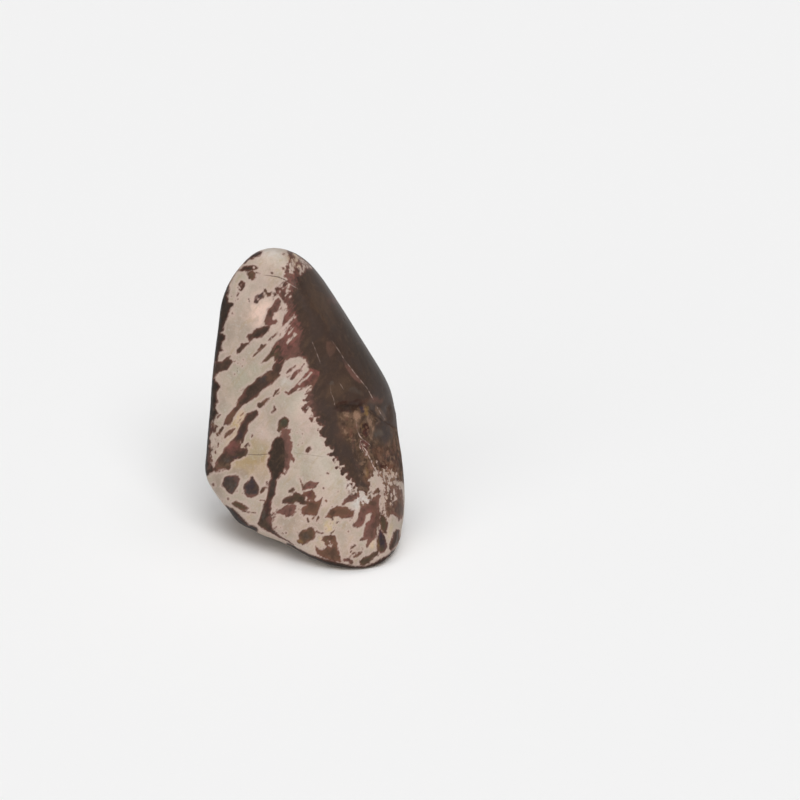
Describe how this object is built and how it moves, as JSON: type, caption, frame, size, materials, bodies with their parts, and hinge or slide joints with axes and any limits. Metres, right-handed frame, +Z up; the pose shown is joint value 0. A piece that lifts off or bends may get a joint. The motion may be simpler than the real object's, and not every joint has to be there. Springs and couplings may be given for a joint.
{
  "type": "tumbled shodo stone",
  "caption": "Tumbled stone with a pale, brush-marked front, a dark chipped right side and a small ground flat that it stands on.",
  "frame": {"origin": "on the surface that the stone rests on, under the middle of its outline seen from above", "axes": "+Z up as the stone stands, -Y out of its pale marked front, +X towards its dark chipped side"},
  "size_m": [0.0398, 0.0374, 0.0615],
  "materials": {
    "polished stone": "satin tumbled polish: cream ground with purple-brown and black-brown brush-like marks, rougher on the chipped cheek"
  },
  "bodies": {
    "root": {"stone": "polished stone"}
  },
  "joints": []
}
